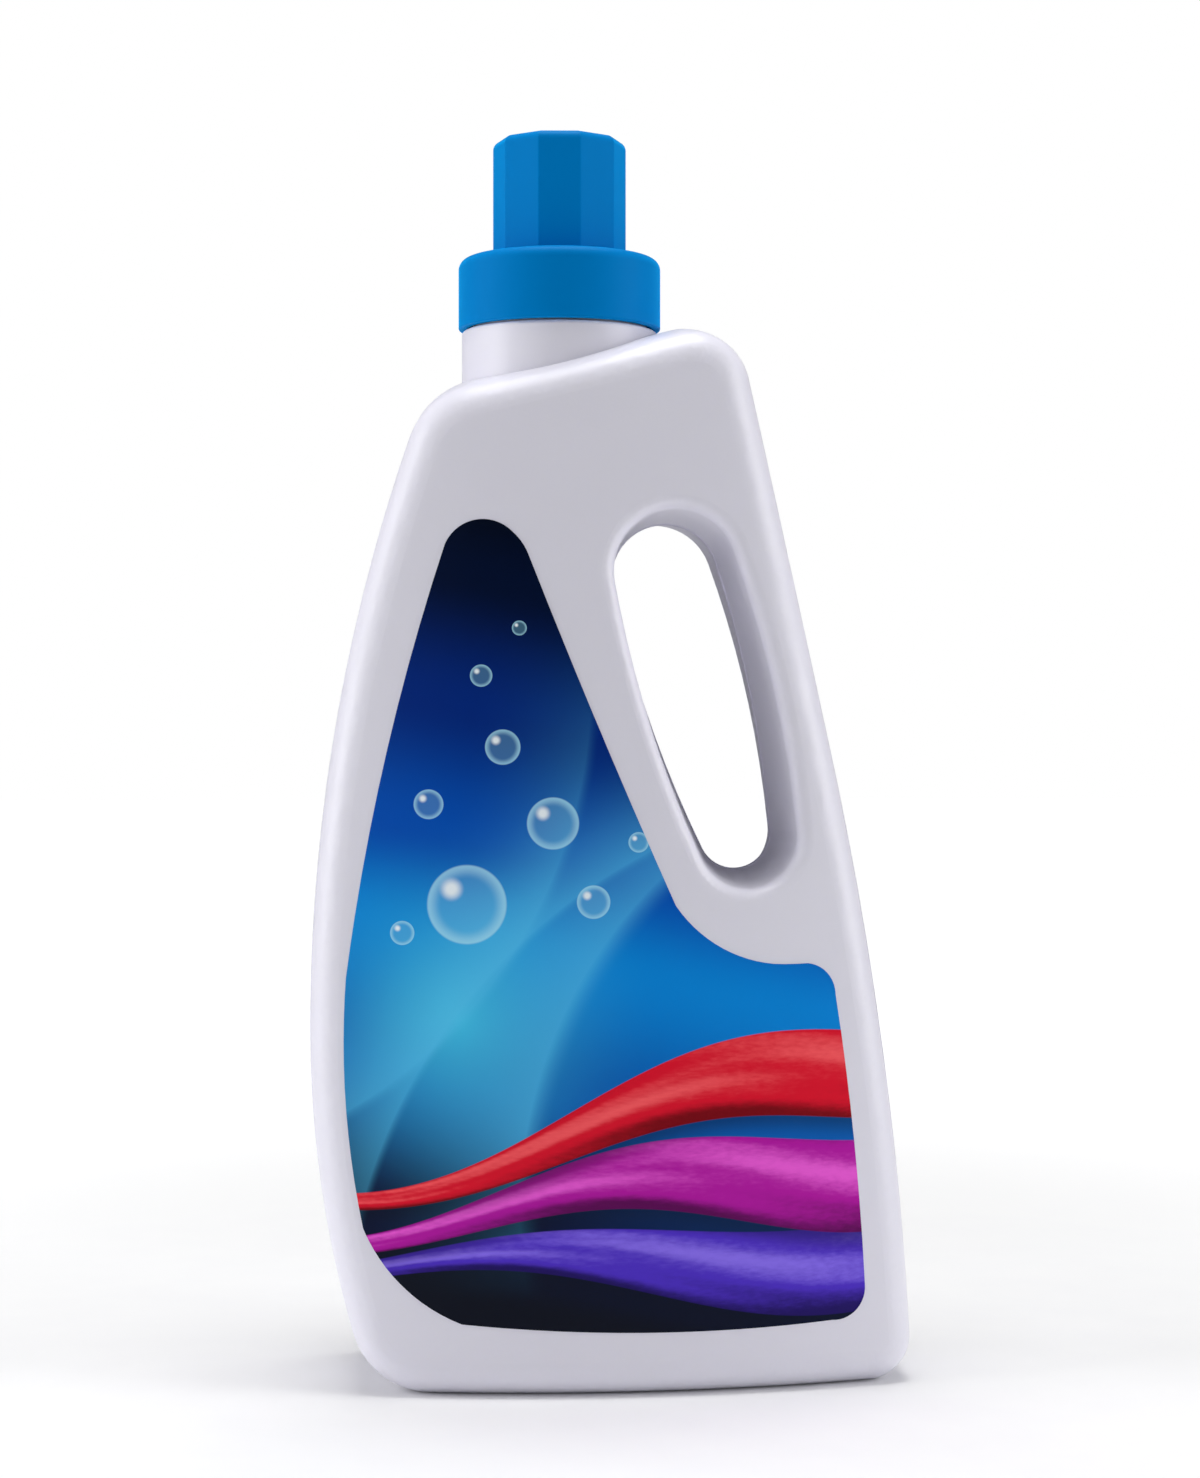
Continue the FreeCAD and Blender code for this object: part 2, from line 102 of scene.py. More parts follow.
@dataclass
class Sheet:
    """A node tree with short calls for the nodes that the finishes use."""

    tree: bpy.types.NodeTree

    def add(self, kind: str, **settings: object) -> bpy.types.Node:
        """Add a node.

        Args:
            kind: The node's type name.
            **settings: Attributes to set on the node.

        Returns:
            The new node.
        """
        node = self.tree.nodes.new(kind)
        for name, value in settings.items():
            setattr(node, name, value)
        return node

    def feed(self, socket: Socket, value: Input) -> None:
        """Link a socket into another, or set its value.

        Args:
            socket: The input socket.
            value: A socket to link, a number or a colour.
        """
        if isinstance(value, bpy.types.NodeSocket):
            self.tree.links.new(value, socket)
        elif isinstance(value, (tuple, list)):
            size = len(socket.default_value)
            socket.default_value = (tuple(value) + (1.0,))[:size]
        else:
            socket.default_value = value

    def calc(self, operation: str, first: Input, second: Input = 0.0,
             third: Input = 0.0) -> Socket:
        """Work out a number from up to three others.

        Args:
            operation: A math node's operation.
            first: First operand.
            second: Second operand.
            third: Third operand.

        Returns:
            The result's socket.
        """
        node = self.add("ShaderNodeMath", operation=operation)
        for socket, value in zip(node.inputs, (first, second, third)):
            self.feed(socket, value)
        return node.outputs[0]

    def ease(self, value: Input, low: float, high: float) -> Socket:
        """A smooth step from 0 at one value to 1 at another.

        Args:
            value: What is measured.
            low: Value that gives 0.
            high: Value that gives 1.

        Returns:
            The step's socket.
        """
        node = self.add("ShaderNodeMapRange", interpolation_type="SMOOTHSTEP")
        self.feed(node.inputs["Value"], value)
        node.inputs["From Min"].default_value = low
        node.inputs["From Max"].default_value = high
        return node.outputs["Result"]

    def blend(self, share: Input, first: Input, second: Input) -> Socket:
        """Blend two colours.

        Args:
            share: How much of the second colour shows.
            first: Colour below.
            second: Colour above.

        Returns:
            The blended colour's socket.
        """
        node = self.add("ShaderNodeMix", data_type="RGBA")
        self.feed(node.inputs["Factor"], share)
        self.feed(node.inputs["A"], first)
        self.feed(node.inputs["B"], second)
        return node.outputs["Result"]

    def ramp(self, value: Input, stops: Sequence[tuple[float, Colour]]) -> Socket:
        """Colours laid along a number, eased from each to the next.

        Args:
            value: The number, from 0 to 1.
            stops: Places and their colours.

        Returns:
            The colour's socket.
        """
        node = self.add("ShaderNodeValToRGB")
        node.color_ramp.interpolation = "EASE"
        elements = node.color_ramp.elements
        while len(elements) < len(stops):
            elements.new(0.5)
        for element, (place, colour) in zip(elements, stops):
            element.position = place
            element.color = (*colour, 1.0)
        self.feed(node.inputs["Fac"], value)
        return node.outputs["Color"]

    def noise(self, grain: Grain) -> Socket:
        """Cloudy noise in the object's own space.

        Args:
            grain: What the noise is like.

        Returns:
            The noise's socket, about 0.5 on average.
        """
        node = self.add("ShaderNodeTexNoise")
        self.feed(node.inputs["Vector"], self.stretched(self.object_place(), grain.stretch))
        node.inputs["Scale"].default_value = grain.fineness
        node.inputs["Detail"].default_value = grain.layers
        node.inputs["Roughness"].default_value = grain.layer_strength
        return node.outputs["Fac"]

    def bump(self, height: Socket, depth_mm: float) -> Socket:
        """Turn a height into a surface normal.

        Args:
            height: The height, about 1 from low to high.
            depth_mm: How deep a height of 1 is, in millimetres.

        Returns:
            The normal's socket.
        """
        node = self.add("ShaderNodeBump")
        node.inputs["Distance"].default_value = depth_mm * MM
        self.feed(node.inputs["Height"], height)
        return node.outputs["Normal"]

    def distance(self, across: Socket, up: Socket) -> Socket:
        """Length of a line given by its run across and its rise.

        Args:
            across: The run across.
            up: The rise.

        Returns:
            The length's socket.
        """
        squares = (self.calc("MULTIPLY", run, run) for run in (across, up))
        return self.calc("SQRT", self.calc("ADD", *squares))

    def object_place(self) -> Socket:
        """Place in the object's own space, in metres."""
        return self.add("ShaderNodeTexCoord").outputs["Object"]

    def stretched(self, place: Input, factors: Colour) -> Socket:
        """A place with each axis scaled.

        Args:
            place: The place.
            factors: One factor for each axis.

        Returns:
            The scaled place's socket.
        """
        node = self.add("ShaderNodeVectorMath", operation="MULTIPLY")
        self.feed(node.inputs[0], place)
        node.inputs[1].default_value = factors
        return node.outputs[0]

    def effect(self, effect: Effect, **values: Input) -> bpy.types.Node:
        """Place a shared effect.

        Args:
            effect: Which group.
            **values: Its inputs by name, with _ for a space.

        Returns:
            The group's node.
        """
        tree = bpy.data.node_groups.get(effect.value) or EFFECTS[effect]()
        node = self.add("ShaderNodeGroup", node_tree=tree)
        for name, value in values.items():
            self.feed(node.inputs[name.replace("_", " ")], value)
        return node


def group_sheet(effect: Effect, inputs: dict[str, float],
                outputs: Sequence[str]) -> tuple[Sheet, bpy.types.Node, bpy.types.Node]:
    """Start a shared effect's group.

    Args:
        effect: Which effect.
        inputs: Number inputs and their usual values.
        outputs: Names of the number outputs.

    Returns:
        The group's sheet, its input node and its output node.
    """
    tree = bpy.data.node_groups.new(effect.value, "ShaderNodeTree")
    for name, usual in inputs.items():
        socket = tree.interface.new_socket(name=name, in_out="INPUT", socket_type="NodeSocketFloat")
        socket.default_value = usual
    for name in outputs:
        tree.interface.new_socket(name=name, in_out="OUTPUT", socket_type="NodeSocketFloat")
    sheet = Sheet(tree)
    return sheet, sheet.add("NodeGroupInput"), sheet.add("NodeGroupOutput")


def moulded_skin() -> bpy.types.NodeTree:
    """Height of a moulded surface: fine orange peel over long soft flow waves.

    Returns:
        The group.
    """
    sheet, given, result = group_sheet(
        Effect.MOULDED_SKIN, {"Peel": 1.0, "Flow": 1.0}, ["Height"])
    peel = sheet.calc("SUBTRACT", sheet.noise(ORANGE_PEEL), MIDDLE)
    flow = sheet.calc("SUBTRACT", sheet.noise(FLOW_WAVES), MIDDLE)
    fine = sheet.calc("MULTIPLY", peel, given.outputs["Peel"])
    long = sheet.calc("MULTIPLY", flow, given.outputs["Flow"])
    sheet.feed(result.inputs["Height"], sheet.calc("ADD", fine, long))
    return sheet.tree


def handling_marks() -> bpy.types.NodeTree:
    """Faint rubbed patches and hairline scuffs from packing and shelves.

    Returns:
        The group.
    """
    sheet, given, result = group_sheet(
        Effect.HANDLING, {"Patches": 1.0, "Hairlines": 1.0}, ["Mask"])
    clouds = sheet.ease(sheet.noise(RUBBED_PATCHES), *PATCH_EDGE)
    hair = sheet.ease(sheet.noise(HAIRLINES), *HAIRLINE_EDGE)
    patch = sheet.calc("MULTIPLY", clouds, given.outputs["Patches"])
    scuff = sheet.calc("MULTIPLY", sheet.calc("MULTIPLY", hair, clouds), given.outputs["Hairlines"])
    mask = sheet.calc("ADD", patch, scuff)
    sheet.feed(result.inputs["Mask"], sheet.calc("MINIMUM", mask, 1.0))
    return sheet.tree


def millimetre_place() -> bpy.types.NodeTree:
    """Place on the bottle in millimetres: across, in depth and up.

    Returns:
        The group.
    """
    sheet, _, result = group_sheet(Effect.MILLIMETRES, {}, ["Across", "Depth", "Up"])
    parts = sheet.add("ShaderNodeSeparateXYZ")
    sheet.feed(parts.inputs[0], sheet.stretched(sheet.object_place(), (1 / MM, 1 / MM, 1 / MM)))
    for name, axis in (("Across", 0), ("Depth", 1), ("Up", 2)):
        sheet.feed(result.inputs[name], parts.outputs[axis])
    return sheet.tree


@dataclass(frozen=True)
class SilkFolds:
    """How a printed ribbon is rolled, folded and pleated, and the shadow that it throws."""

    narrow_end: float = 0.2
    roll_middle: float = 0.3
    roll_turn: float = 1.2
    roll_share: float = 0.82
    folds: float = 5.0
    fold_slant: float = 1.7
    fold_share: float = 0.12
    pleats: float = 13.0
    pleat_share: float = 0.035
    edge_fade_mm: float = 0.3
    shadow_reach_mm: float = 5.0
    shadow_overlap_mm: float = 1.5


SILK = SilkFolds()


def printed_ribbon() -> bpy.types.NodeTree:
    """A waving ribbon of silk across the print, narrow at its left end.

    Returns:
        The group, with Mask, Shade and Shadow, which falls on what lies below it.
    """
    sheet, given, result = group_sheet(
        Effect.RIBBON,
        {"Height": 50.0, "Rise": 0.1, "Wave": 5.0, "Length": 120.0, "Phase": 0.0,
         "Width": 14.0, "Start": -60.0, "Spread": 110.0},
        ["Mask", "Shade", "Shadow"])
    mm = sheet.effect(Effect.MILLIMETRES)
    x, z = mm.outputs["Across"], mm.outputs["Up"]
    turn = sheet.calc("MULTIPLY", sheet.calc("DIVIDE", x, given.outputs["Length"]), math.tau)
    turn = sheet.calc("ADD", turn, given.outputs["Phase"])
    wave = sheet.calc("MULTIPLY", sheet.calc("SINE", turn), given.outputs["Wave"])
    middle = sheet.calc("ADD", given.outputs["Height"], wave)
    middle = sheet.calc("MULTIPLY_ADD", x, given.outputs["Rise"], middle)
    past_start = sheet.calc("SUBTRACT", x, given.outputs["Start"])
    reach = sheet.calc("DIVIDE", past_start, given.outputs["Spread"])
    spread = sheet.calc("MULTIPLY_ADD", sheet.ease(reach, 0.0, 1.0),
                        1.0 - SILK.narrow_end, SILK.narrow_end)
    half = sheet.calc("MULTIPLY", sheet.calc("MULTIPLY", given.outputs["Width"], spread), 0.5)
    off = sheet.calc("SUBTRACT", z, middle)
    across = sheet.calc("DIVIDE", off, half)
    edge = sheet.calc("MULTIPLY",
                      sheet.calc("SUBTRACT", 1.0, sheet.calc("ABSOLUTE", across)), half)
    from_crest = sheet.calc("SUBTRACT", across, SILK.roll_middle)
    roll = sheet.calc("COSINE", sheet.calc("MULTIPLY", from_crest, SILK.roll_turn))
    slant = sheet.calc("MULTIPLY", turn, SILK.fold_slant)
    fold = sheet.calc("SINE", sheet.calc("MULTIPLY_ADD", across, SILK.folds, slant))
    pleat = sheet.calc("SINE", sheet.calc("MULTIPLY_ADD", across, SILK.pleats, turn))
    shade = sheet.calc("MULTIPLY_ADD", fold, SILK.fold_share,
                       sheet.calc("MULTIPLY", roll, SILK.roll_share))
    shade = sheet.calc("MULTIPLY_ADD", pleat, SILK.pleat_share, shade)
    below = sheet.calc("SUBTRACT", sheet.calc("MULTIPLY", half, -1.0), off)
    sheet.feed(result.inputs["Mask"], sheet.ease(edge, 0.0, SILK.edge_fade_mm))
    sheet.feed(result.inputs["Shade"], shade)
    fall = sheet.ease(below, SILK.shadow_reach_mm, 0.0)
    start = sheet.ease(below, -SILK.shadow_overlap_mm, 0.0)
    sheet.feed(result.inputs["Shadow"], sheet.calc("MULTIPLY", fall, start))
    return sheet.tree


@dataclass(frozen=True)
class SoapFilm:
    """Where a printed bubble's rim and glint lie, as shares of its radius."""

    rim_starts: float = 0.62
    rim_is_full: float = 0.98
    fades_from: float = 0.94
    glint_shift: float = 0.38
    glint_radius: float = 0.34
    glint_core: float = 0.08


SOAP = SoapFilm()


def printed_bubble() -> bpy.types.NodeTree:
    """A soap bubble in the print: a thin bright rim, a faint fill and a glint.

    Returns:
        The group, with Rim, Fill and Glint.
    """
    sheet, given, result = group_sheet(
        Effect.BUBBLE, {"Across": 0.0, "Up": 0.0, "Radius": 5.0}, ["Rim", "Fill", "Glint"])
    mm = sheet.effect(Effect.MILLIMETRES)

    def reach(shift: float) -> Socket:
        """Measure from a point up and left of the centre.

        Args:
            shift: How far up and how far left, as a share of the radius.

        Returns:
            The distance's socket, as a share of the radius.
        """
        dx, dz = (sheet.calc("DIVIDE", sheet.calc("SUBTRACT", mm.outputs[way], given.outputs[way]),
                             given.outputs["Radius"]) for way in ("Across", "Up"))
        return sheet.distance(sheet.calc("ADD", dx, shift), sheet.calc("SUBTRACT", dz, shift))

    far = reach(0.0)
    inside = sheet.ease(far, 1.0, SOAP.fades_from)
    rim = sheet.calc("MULTIPLY", sheet.ease(far, SOAP.rim_starts, SOAP.rim_is_full), inside)
    glint = sheet.ease(reach(SOAP.glint_shift), SOAP.glint_radius, SOAP.glint_core)
    sheet.feed(result.inputs["Rim"], rim)
    sheet.feed(result.inputs["Fill"], inside)
    sheet.feed(result.inputs["Glint"], glint)
    return sheet.tree


def printed_streak() -> bpy.types.NodeTree:
    """A curved band of light across the print, brightest along its crest.

    Returns:
        The group, with Light.
    """
    sheet, given, result = group_sheet(
        Effect.STREAK,
        {"Across": 0.0, "Up": 0.0, "Radius": 100.0, "Inner Fade": 3.0, "Outer Fade": 20.0},
        ["Light"])
    mm = sheet.effect(Effect.MILLIMETRES)
    dx = sheet.calc("SUBTRACT", mm.outputs["Across"], given.outputs["Across"])
    dz = sheet.calc("SUBTRACT", mm.outputs["Up"], given.outputs["Up"])
    off = sheet.calc("SUBTRACT", sheet.distance(dx, dz), given.outputs["Radius"])
    inner = sheet.calc("DIVIDE", off, sheet.calc("MULTIPLY", given.outputs["Inner Fade"], -1.0))
    outer = sheet.calc("DIVIDE", off, given.outputs["Outer Fade"])
    fall = sheet.calc("MAXIMUM", inner, outer)
    left = sheet.calc("MAXIMUM", sheet.calc("SUBTRACT", 1.0, fall), 0.0)
    light = sheet.calc("POWER", left, LIGHT_FALL)
    sheet.feed(result.inputs["Light"], light)
    return sheet.tree


EFFECTS: dict[Effect, Callable[[], bpy.types.NodeTree]] = {
    Effect.MOULDED_SKIN: moulded_skin,
    Effect.HANDLING: handling_marks,
    Effect.MILLIMETRES: millimetre_place,
    Effect.RIBBON: printed_ribbon,
    Effect.BUBBLE: printed_bubble,
    Effect.STREAK: printed_streak,
}


@dataclass(frozen=True)
class Plastic:
    """A moulded plastic: its colour, gloss, skin and handling marks."""

    name: str
    colour: Colour
    tint: Colour
    tint_share: float = 0.4
    roughness: float = 0.4
    marks: float = 0.08
    hairlines: float = 0.7
    peel: float = 0.5
    flow: float = 0.5
    skin_depth_mm: float = 0.02
    glow: float = 0.0
    glow_depth_mm: Colour = (3.0, 3.0, 3.0)
    gloss: float = 0.5
    refraction: float = 1.5

    def material(self) -> bpy.types.Material:
        """Build the material.

        Returns:
            The material.
        """
        material = bpy.data.materials.new(self.name)
        material.use_nodes = True
        sheet = Sheet(material.node_tree)
        shader = material.node_tree.nodes["Principled BSDF"]
        marks = sheet.effect(Effect.HANDLING, Patches=1.0, Hairlines=self.hairlines)
        share = sheet.calc("MULTIPLY", sheet.noise(COLOUR_CLOUDS), self.tint_share)
        colour = sheet.blend(share, self.colour, self.tint)
        sheet.feed(shader.inputs["Base Color"], self.over(sheet, colour))
        rough = sheet.calc("MULTIPLY_ADD", marks.outputs["Mask"], self.marks, self.roughness)
        sheet.feed(shader.inputs["Roughness"], rough)
        skin = sheet.effect(Effect.MOULDED_SKIN, Peel=self.peel, Flow=self.flow)
        height = self.relief(sheet, skin.outputs["Height"])
        sheet.feed(shader.inputs["Normal"], sheet.bump(height, self.skin_depth_mm))
        shader.inputs["Subsurface Weight"].default_value = self.glow
        depths = tuple(depth * MM for depth in self.glow_depth_mm)
        shader.inputs["Subsurface Radius"].default_value = depths
        shader.inputs["Subsurface Scale"].default_value = 1.0
        shader.inputs["IOR"].default_value = self.refraction
        shader.inputs["Specular IOR Level"].default_value = self.gloss
        return material

    def over(self, sheet: Sheet, colour: Socket) -> Socket:
        """Colour with what this plastic lays over it, such as painted shade along a seam; nothing
        on a plain one.
        """
        return colour

    def relief(self, sheet: Sheet, height: Socket) -> Socket:
        """Height with this plastic's own lines in it; none on a plain one."""
        return height


@dataclass(frozen=True)
class BottlePlastic(Plastic):
    """White polyethylene with the raised parting line where the mould's halves met, and painted
    shade along it.
    """

    seam_outer_mm: float = 0.48
    seam_inner_mm: float = 0.18
    seam_height: float = 2.0
    # How dark the painted shade along the parting line is, as a share of the plain colour.
    seam_painted_shade: float = 0.86

    def seam(self, sheet: Sheet) -> Socket:
        """Mask of the parting line along the middle plane.

        Args:
            sheet: The material's sheet.

        Returns:
            The mask's socket.
        """
        mm = sheet.effect(Effect.MILLIMETRES)
        off = sheet.calc("ABSOLUTE", mm.outputs["Depth"])
        return sheet.ease(off, self.seam_outer_mm, self.seam_inner_mm)

    def over(self, sheet: Sheet, colour: Socket) -> Socket:
        """Colour, a little darker along the parting line: painted shade beside the raised seam."""
        # Painted shade: the colour is darkened along the parting line, where the raised seam's
        # shade falls.
        dark = tuple(channel * self.seam_painted_shade for channel in self.colour)
        return sheet.blend(self.seam(sheet), colour, dark)

    def relief(self, sheet: Sheet, height: Socket) -> Socket:
        """Height, raised along the parting line."""
        return sheet.calc("MULTIPLY_ADD", self.seam(sheet), self.seam_height, height)


@dataclass(frozen=True)
class CapPlastic(Plastic):
    """Blue polypropylene with a soft bloom of its own colour where it is seen edge on."""

    bloom: float = 1.0
    bloom_roughness: float = 0.35
    bloom_colour: Colour = srgb(0, 176, 250)

    def material(self) -> bpy.types.Material:
        """Build the material with its bloom.

        Returns:
            The material.
        """
        material = super().material()
        shader = material.node_tree.nodes["Principled BSDF"]
        shader.inputs["Sheen Weight"].default_value = self.bloom
        shader.inputs["Sheen Roughness"].default_value = self.bloom_roughness
        shader.inputs["Sheen Tint"].default_value = (*self.bloom_colour, 1.0)
        shader.inputs["Specular Tint"].default_value = (*self.bloom_colour, 1.0)
        return material


@dataclass(frozen=True)
class Ribbon:
    """One printed ribbon: its course in millimetres and its colours."""

    height: float
    rise: float
    wave: float
    length: float
    phase: float
    width: float
    dark: Colour
    middle: Colour
    bright: Colour


@dataclass(frozen=True)
class Bubble:
    """One printed soap bubble, in millimetres."""

    across: float
    up: float
    radius: float


@dataclass(frozen=True)
class Streak:
    """One curved streak of printed light: its circle and its fading, in millimetres."""

    across: float
    up: float
    radius: float
    inner_fade: float
    outer_fade: float
    light: float


@dataclass(frozen=True)
class LabelPrint:
    """The glossy film's generic print: night blue to sky blue, bubbles and ribbons."""

    name: str = "label print"
    foot_mm: float = 14.0
    top_mm: float = 186.0
    lean: float = 0.22
    roughness: float = 0.3
    marks: float = 0.08
    skin_depth_mm: float = 0.01
    refraction: float = 1.45
    gloss: float = 0.12
    # Facings between which the film's side faces turn to the pale cut-edge colour: its white edge
    # plus a painted highlight.
    cut_edge_facing: tuple[float, float] = (0.35, 0.15)
    # Pale colour of the film's cut edge: the film's own white edge with a painted highlight along
    # it.
    film_edge_white_and_highlight: Colour = srgb(206, 214, 226)
    blues: tuple[tuple[float, Colour], ...] = (
        (0.00, srgb(2, 8, 26)),
        (0.10, srgb(0, 16, 58)),
        (0.28, srgb(0, 92, 178)),
        (0.44, srgb(0, 132, 216)),
        (0.56, srgb(0, 78, 178)),
        (0.72, srgb(0, 40, 122)),
        (0.88, srgb(0, 14, 46)),
        (1.00, srgb(0, 5, 16)),
    )
    ribbons: tuple[Ribbon, ...] = (
        Ribbon(28.0, 0.02, 3.5, 128.0, 2.6, 19.0,
               srgb(30, 12, 96), srgb(78, 48, 196), srgb(138, 112, 238)),
        Ribbon(42.0, 0.10, 4.5, 120.0, 1.5, 20.0,
               srgb(92, 0, 84), srgb(178, 20, 160), srgb(236, 92, 214)),
        Ribbon(57.0, 0.20, 5.5, 126.0, 0.6, 19.0,
               srgb(122, 0, 16), srgb(220, 16, 44), srgb(250, 92, 98)),
    )
    streaks: tuple[Streak, ...] = (
        Streak(75.0, 40.0, 96.0, 5.0, 34.0, 0.5),
        Streak(60.0, 10.0, 118.0, 2.0, 22.0, 0.4),
        Streak(-110.0, 150.0, 104.0, 26.0, 2.5, 0.35),
    )
    bubbles: tuple[Bubble, ...] = (
        Bubble(-32.0, 104.0, 8.5), Bubble(-14.0, 121.0, 5.6), Bubble(-24.5, 137.0, 3.8),
        Bubble(-40.0, 125.0, 3.2), Bubble(-5.5, 104.5, 3.6), Bubble(-29.0, 152.0, 2.4),
        Bubble(4.0, 117.0, 2.2), Bubble(-45.5, 98.0, 2.6), Bubble(-21.0, 162.0, 1.6),
    )
    glow: Streak = Streak(-34.0, 80.0, 0.0, 1.0, 44.0, 0.85)
    glow_colour: Colour = srgb(70, 205, 240)
    streak_colour: Colour = srgb(90, 200, 245)
    streaks_fade_up_mm: tuple[float, float] = (165.0, 95.0)
    streaks_fade_down_mm: tuple[float, float] = (20.0, 60.0)
    bubble_layers: tuple[tuple[str, float, Colour], ...] = (
        ("Fill", 0.16, srgb(150, 225, 250)),
        ("Rim", 0.6, srgb(180, 235, 252)),
        ("Glint", 0.9, srgb(246, 253, 255)),
    )
    silk_stops: tuple[float, float, float] = (0.05, 0.6, 1.0)
    silk_grain: float = 0.22
    shadow_share: float = 0.55

    def material(self) -> bpy.types.Material:
        """Build the printed film's material.

        Returns:
            The material.
        """
        material = bpy.data.materials.new(self.name)
        material.use_nodes = True
        sheet = Sheet(material.node_tree)
        shader = material.node_tree.nodes["Principled BSDF"]
        mm = sheet.effect(Effect.MILLIMETRES)
        colour = self.sky(sheet, mm)
        for bubble in self.bubbles:
            colour = self.with_bubble(sheet, colour, bubble)
        for ribbon in self.ribbons:
            colour = self.with_ribbon(sheet, colour, ribbon)
        # Painted highlight: side faces turned away from the front get a pale colour, the cut edge's
        # own white plus a painted highlight.
        facing = sheet.add("ShaderNodeSeparateXYZ")
        sheet.feed(facing.inputs[0], sheet.add("ShaderNodeTexCoord").outputs["Normal"])
        to_front = sheet.calc("MULTIPLY", facing.outputs[1], -1.0)
        edge_white_and_highlight_mask = sheet.ease(to_front, *self.cut_edge_facing)
        sheet.feed(shader.inputs["Base Color"], sheet.blend(edge_white_and_highlight_mask, colour, self.film_edge_white_and_highlight))
        marks = sheet.effect(Effect.HANDLING, Patches=0.6, Hairlines=1.0)
        rough = sheet.calc("MULTIPLY_ADD", marks.outputs["Mask"], self.marks, self.roughness)
        sheet.feed(shader.inputs["Roughness"], rough)
        skin = sheet.effect(Effect.MOULDED_SKIN, Peel=0.3, Flow=0.4)
        normal = sheet.bump(skin.outputs["Height"], self.skin_depth_mm)
        sheet.feed(shader.inputs["Normal"], normal)
        shader.inputs["IOR"].default_value = self.refraction
        shader.inputs["Specular IOR Level"].default_value = self.gloss
        return material

    def sky(self, sheet: Sheet, mm: bpy.types.Node) -> Socket:
        """The field of blues with its glow and light streaks.

        Args:
            sheet: The material's sheet.
            mm: The millimetre place's node.

        Returns:
            The colour's socket.
        """
        rise = sheet.calc("MULTIPLY_ADD", mm.outputs["Across"], self.lean, mm.outputs["Up"])
        share = sheet.calc("DIVIDE", sheet.calc("SUBTRACT", rise, self.foot_mm),
                           self.top_mm - self.foot_mm)
        colour = sheet.ramp(share, self.blues)
        colour = sheet.blend(self.light(sheet, self.glow), colour, self.glow_colour)
        window = sheet.calc("MULTIPLY", sheet.ease(mm.outputs["Up"], *self.streaks_fade_up_mm),
                            sheet.ease(mm.outputs["Up"], *self.streaks_fade_down_mm))
        for streak in self.streaks:
            strength = sheet.calc("MULTIPLY", self.light(sheet, streak), window)
            colour = sheet.blend(strength, colour, self.streak_colour)
        return colour

    def light(self, sheet: Sheet, streak: Streak) -> Socket:
        """Strength of one streak of printed light.

        Args:
            sheet: The material's sheet.
            streak: The streak.

        Returns:
            The strength's socket.
        """
        band = sheet.effect(Effect.STREAK, Across=streak.across, Up=streak.up,
                            Radius=streak.radius, Inner_Fade=streak.inner_fade,
                            Outer_Fade=streak.outer_fade)
        return sheet.calc("MULTIPLY", band.outputs["Light"], streak.light)

    def with_bubble(self, sheet: Sheet, colour: Socket, bubble: Bubble) -> Socket:
        """Lay one bubble over the print.

        Args:
            sheet: The material's sheet.
            colour: The print so far.
            bubble: The bubble.

        Returns:
            The colour's socket.
        """
        disc = sheet.effect(Effect.BUBBLE, Across=bubble.across, Up=bubble.up,
                            Radius=bubble.radius)
        for layer, strength, tone in self.bubble_layers:
            share = sheet.calc("MULTIPLY", disc.outputs[layer], strength)
            colour = sheet.blend(share, colour, tone)
        return colour

    def with_ribbon(self, sheet: Sheet, colour: Socket, ribbon: Ribbon) -> Socket:
        """Lay one ribbon over the print.

        Args:
            sheet: The material's sheet.
            colour: The print so far.
            ribbon: The ribbon.

        Returns:
            The colour's socket.
        """
        band = sheet.effect(Effect.RIBBON, Height=ribbon.height, Rise=ribbon.rise,
                            Wave=ribbon.wave, Length=ribbon.length, Phase=ribbon.phase,
                            Width=ribbon.width)
        shadow = sheet.calc("MULTIPLY", band.outputs["Shadow"], self.shadow_share)
        colour = sheet.blend(shadow, colour, self.blues[0][1])
        grain = sheet.calc("SUBTRACT", sheet.noise(SILK_THREADS), MIDDLE)
        shade = sheet.calc("MULTIPLY_ADD", grain, self.silk_grain, band.outputs["Shade"])
        tones = (ribbon.dark, ribbon.middle, ribbon.bright)
        silk = sheet.ramp(shade, tuple(zip(self.silk_stops, tones)))
        return sheet.blend(band.outputs["Mask"], colour, silk)


def dress(node: Node, material: bpy.types.Material, crease_deg: float = 32.0) -> None:
    """Give a solid its finish and smooth shading.

    Args:
        node: The solid.
        material: Its finish.
        crease_deg: Edges sharper than this stay sharp.
    """
    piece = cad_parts[node.value]
    if not piece.material_slots:
        piece.data.materials.append(material)
    for slot in piece.material_slots:
        slot.material = material
    piece.data.shade_smooth()
    piece.data.set_sharp_from_angle(angle=math.radians(crease_deg))
    weighted = piece.modifiers.new("even light", "WEIGHTED_NORMAL")
    weighted.keep_sharp = True
    weighted.weight = LARGE_FACES_LEAD
    LOG.info("%s wears %s", node.value, material.name)


def soft_white() -> BottlePlastic:
    """The bottle's white polyethylene."""
    return BottlePlastic(
        name="bottle plastic", colour=srgb(226, 224, 238), tint=srgb(232, 232, 242),
        roughness=0.36, marks=0.1, peel=0.35, flow=0.5, skin_depth_mm=0.03, glow=0.25,
        glow_depth_mm=(2.2, 2.2, 2.6))


@dataclass
class BlownBottle:
    """The blow-moulded bottle with its label."""

    plastic: BottlePlastic = field(default_factory=soft_white)
    film: LabelPrint = field(default_factory=LabelPrint)

    def build(self) -> None:
        """Dress the shell and the film on its front."""
        dress(Node.BODY, self.plastic.material())
        dress(Node.LABEL, self.film.material())


def blue_cap() -> CapPlastic:
    """The cap's blue polypropylene."""
    return CapPlastic(
        name="cap plastic", colour=srgb(0, 118, 190), tint=srgb(0, 128, 202), roughness=0.45,
        marks=0.12, peel=0.3, flow=0.3, skin_depth_mm=0.015, gloss=0.06)


